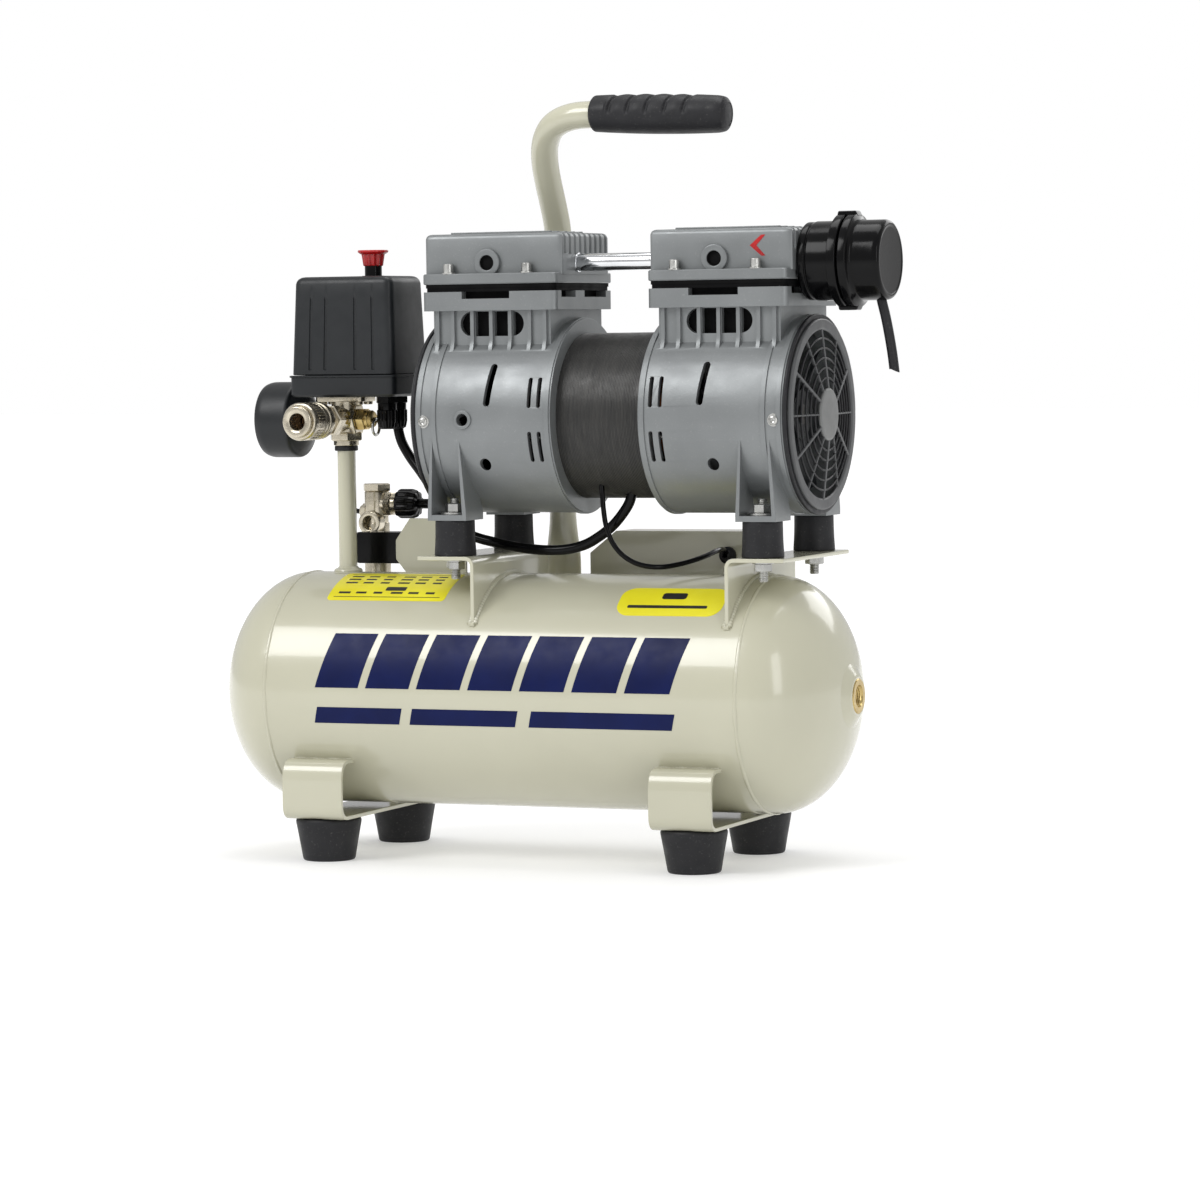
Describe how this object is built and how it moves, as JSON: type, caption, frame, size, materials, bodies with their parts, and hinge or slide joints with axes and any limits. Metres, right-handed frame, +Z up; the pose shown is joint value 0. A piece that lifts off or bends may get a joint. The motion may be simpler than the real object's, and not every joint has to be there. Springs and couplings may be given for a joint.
{
  "type": "air compressor",
  "caption": "Portable oil-free air compressor: horizontal tank on rubber feet, twin-cylinder motor pump, carry handle, pressure switch, gauge and quick coupling.",
  "frame": {"origin": "middle of the footprint box, on the surface the rubber feet stand on", "axes": "+Z up; +X along the tank towards the intake filter; -Y towards the side with the quick coupling"},
  "size_m": [0.4475, 0.162, 0.473],
  "materials": {
    "cream_paint": "gloss",
    "cast_aluminium": "satin",
    "zinc_steel": "satin",
    "nickel_plate": "polished",
    "bright_chrome": "polished",
    "brass": "satin",
    "black_rubber": "matte",
    "charcoal_plastic": "satin",
    "black_plastic": "gloss",
    "grey_plastic": "satin",
    "red_plastic": "gloss",
    "stator_steel": "satin",
    "rotor_steel": "satin",
    "copper_winding": "gloss",
    "dial_white": "matte",
    "clear_lens": "polished"
  },
  "bodies": {
    "frame": {"tank_barrel": "cream_paint", "tank_ends": "cream_paint", "end_port_bush": "brass", "foot_straps": "cream_paint", "rubber_feet": "black_rubber", "m6_fasteners": "zinc_steel", "motor_brackets": "cream_paint", "vibration_mounts": "black_rubber", "handle_tube": "cream_paint", "handle_grip": "black_rubber", "capacitor_box": "cream_paint", "capacitor": "grey_plastic", "standpipe": "cream_paint", "manifold": "nickel_plate", "switch_base": "charcoal_plastic", "switch_cover": "charcoal_plastic", "switch_mechanism": "zinc_steel", "cable_glands": "black_plastic", "gauge_case": "black_plastic", "gauge_dial": "dial_white", "gauge_lens": "clear_lens", "coupler_body": "nickel_plate", "safety_valve_body": "brass", "check_valve": "nickel_plate", "hose_nuts": "black_plastic", "rear_bracket": "cream_paint", "overload_box": "black_plastic", "delivery_hose": "black_rubber", "unloader_tube": "black_rubber", "motor_cable": "black_rubber", "capacitor_lead": "black_rubber", "housing_left": "cast_aluminium", "housing_right": "cast_aluminium", "stator": "stator_steel", "stator_winding": "copper_winding", "tie_bolts": "zinc_steel", "shaft_bearings": "bright_chrome", "cylinders": "cast_aluminium", "head_gaskets": "black_rubber", "valve_plates": "rotor_steel", "head_left": "cast_aluminium", "head_right": "cast_aluminium", "head_screws": "zinc_steel", "crossover_pipe": "bright_chrome", "filter_body": "black_plastic", "filter_cap": "black_plastic", "intake_snorkel": "black_rubber", "fan_shrouds": "black_rubber", "fan_guards": "grey_plastic"},
    "rotor": {"rotor_shaft": "bright_chrome", "rotor_core": "rotor_steel", "cooling_fans": "black_plastic", "eccentrics": "rotor_steel"},
    "piston_left": {"piston_left": "cast_aluminium"},
    "piston_right": {"piston_right": "cast_aluminium"},
    "switch_knob": {"switch_knob": "red_plastic"},
    "gauge_needle": {"gauge_needle": "black_plastic"},
    "coupler_sleeve": {"coupler_sleeve": "nickel_plate"},
    "safety_valve_ring": {"safety_valve_ring": "zinc_steel"},
    "drain_screw": {"drain_screw": "brass"}
  },
  "joints": [
    {"name": "shaft_spin", "type": "hinge", "parent": "frame", "child": "rotor", "pos_m": [0.047, -0.003, 0.275], "axis": [1, 0, 0], "continuous": true},
    {"name": "piston_left_slide", "type": "slide", "parent": "frame", "child": "piston_left", "axis": [0, 0, 1], "range_m": [-0.012, 0]},
    {"name": "piston_right_slide", "type": "slide", "parent": "frame", "child": "piston_right", "axis": [0, 0, 1], "range_m": [0, 0.012]},
    {"name": "switch_knob_push", "type": "slide", "parent": "frame", "child": "switch_knob", "axis": [0, 0, 1], "range_m": [-0.006, 0]},
    {"name": "gauge_needle_sweep", "type": "hinge", "parent": "frame", "child": "gauge_needle", "pos_m": [-0.2, -0.003, 0.2735], "axis": [1, 0, 0], "range_deg": [0, 270], "stiffness_Nm_per_rad": 0.002},
    {"name": "coupler_sleeve_slide", "type": "slide", "parent": "frame", "child": "coupler_sleeve", "axis": [0, 1, 0], "range_m": [0, 0.003], "stiffness_N_per_m": 800, "springref_m": -0.003},
    {"name": "safety_ring_pull", "type": "slide", "parent": "frame", "child": "safety_valve_ring", "axis": [1, 0, 0], "range_m": [0, 0.002], "stiffness_N_per_m": 500, "springref_m": -0.002},
    {"name": "drain_screw_turn", "type": "hinge", "parent": "frame", "child": "drain_screw", "pos_m": [-0.017, 0.035, 0.025], "axis": [0, 0, -1], "range_deg": [0, 360]}
  ],
  "couplings": [
    {"joint": "piston_right_slide", "follows": "piston_left_slide", "ratio": -1}
  ]
}
